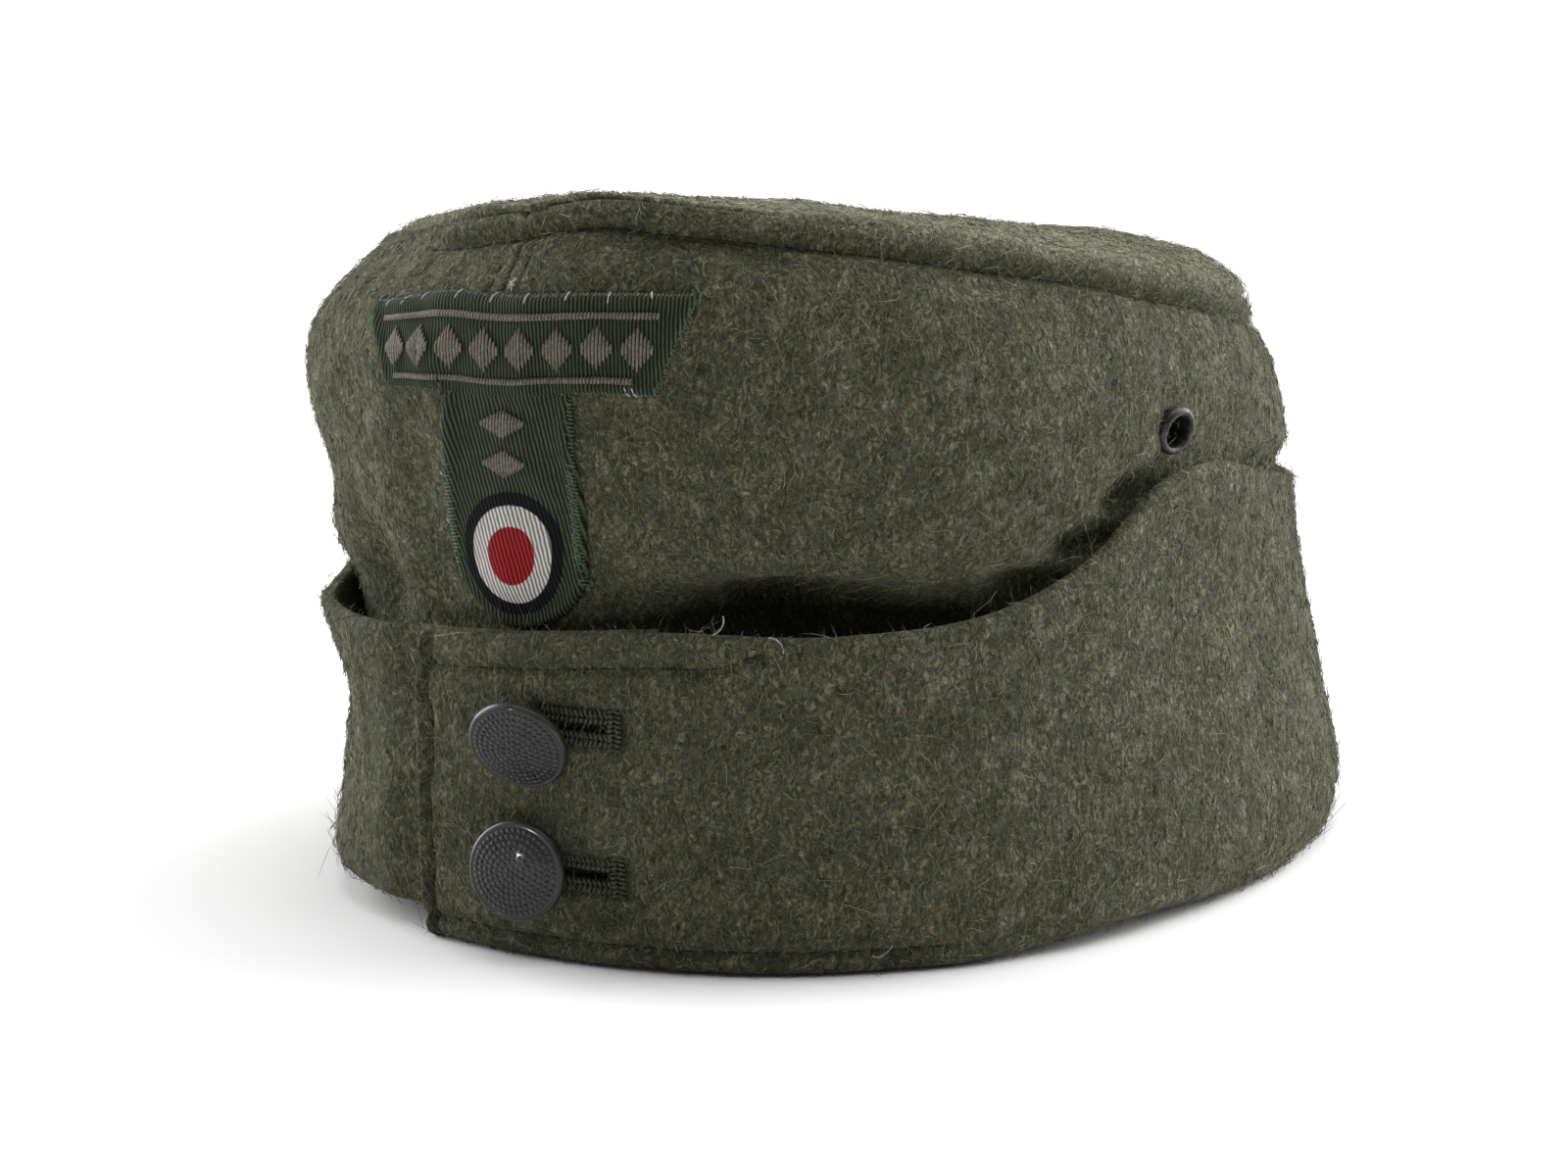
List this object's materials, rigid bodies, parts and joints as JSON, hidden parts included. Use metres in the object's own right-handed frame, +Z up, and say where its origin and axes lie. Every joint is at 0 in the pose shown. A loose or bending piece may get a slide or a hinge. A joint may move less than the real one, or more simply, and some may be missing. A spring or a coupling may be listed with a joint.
{
  "type": "garrison cap",
  "caption": "Soft wool garrison cap with a turn-up flap that overlaps and buttons at the front, side ventilation eyelets and a T-shaped woven patch.",
  "frame": {"origin": "middle of the cap's outline, on the surface it rests on", "axes": "+Z up; the front with buttons and patch faces -Y; +X is the wearer's left"},
  "size_m": [0.1622, 0.2084, 0.122],
  "materials": {
    "wool": "felted, heathered grey-green wool with a short nap",
    "patch_cloth": "dark green diagonal weave with grey-brown motif threads and a black, white and red roundel",
    "button_paint": "dark grey paint over pebbled metal, slightly worn",
    "eyelet_metal": "blackened metal, rubbed at the rim"
  },
  "bodies": {
    "root": {"crown_side_left": "wool", "crown_side_right": "wool", "crown_top": "wool", "flap_left": "wool", "flap_right": "wool", "cap_patch": "patch_cloth", "button_upper": "button_paint", "button_lower": "button_paint", "eyelet_left": "eyelet_metal", "eyelet_right": "eyelet_metal"}
  },
  "joints": []
}
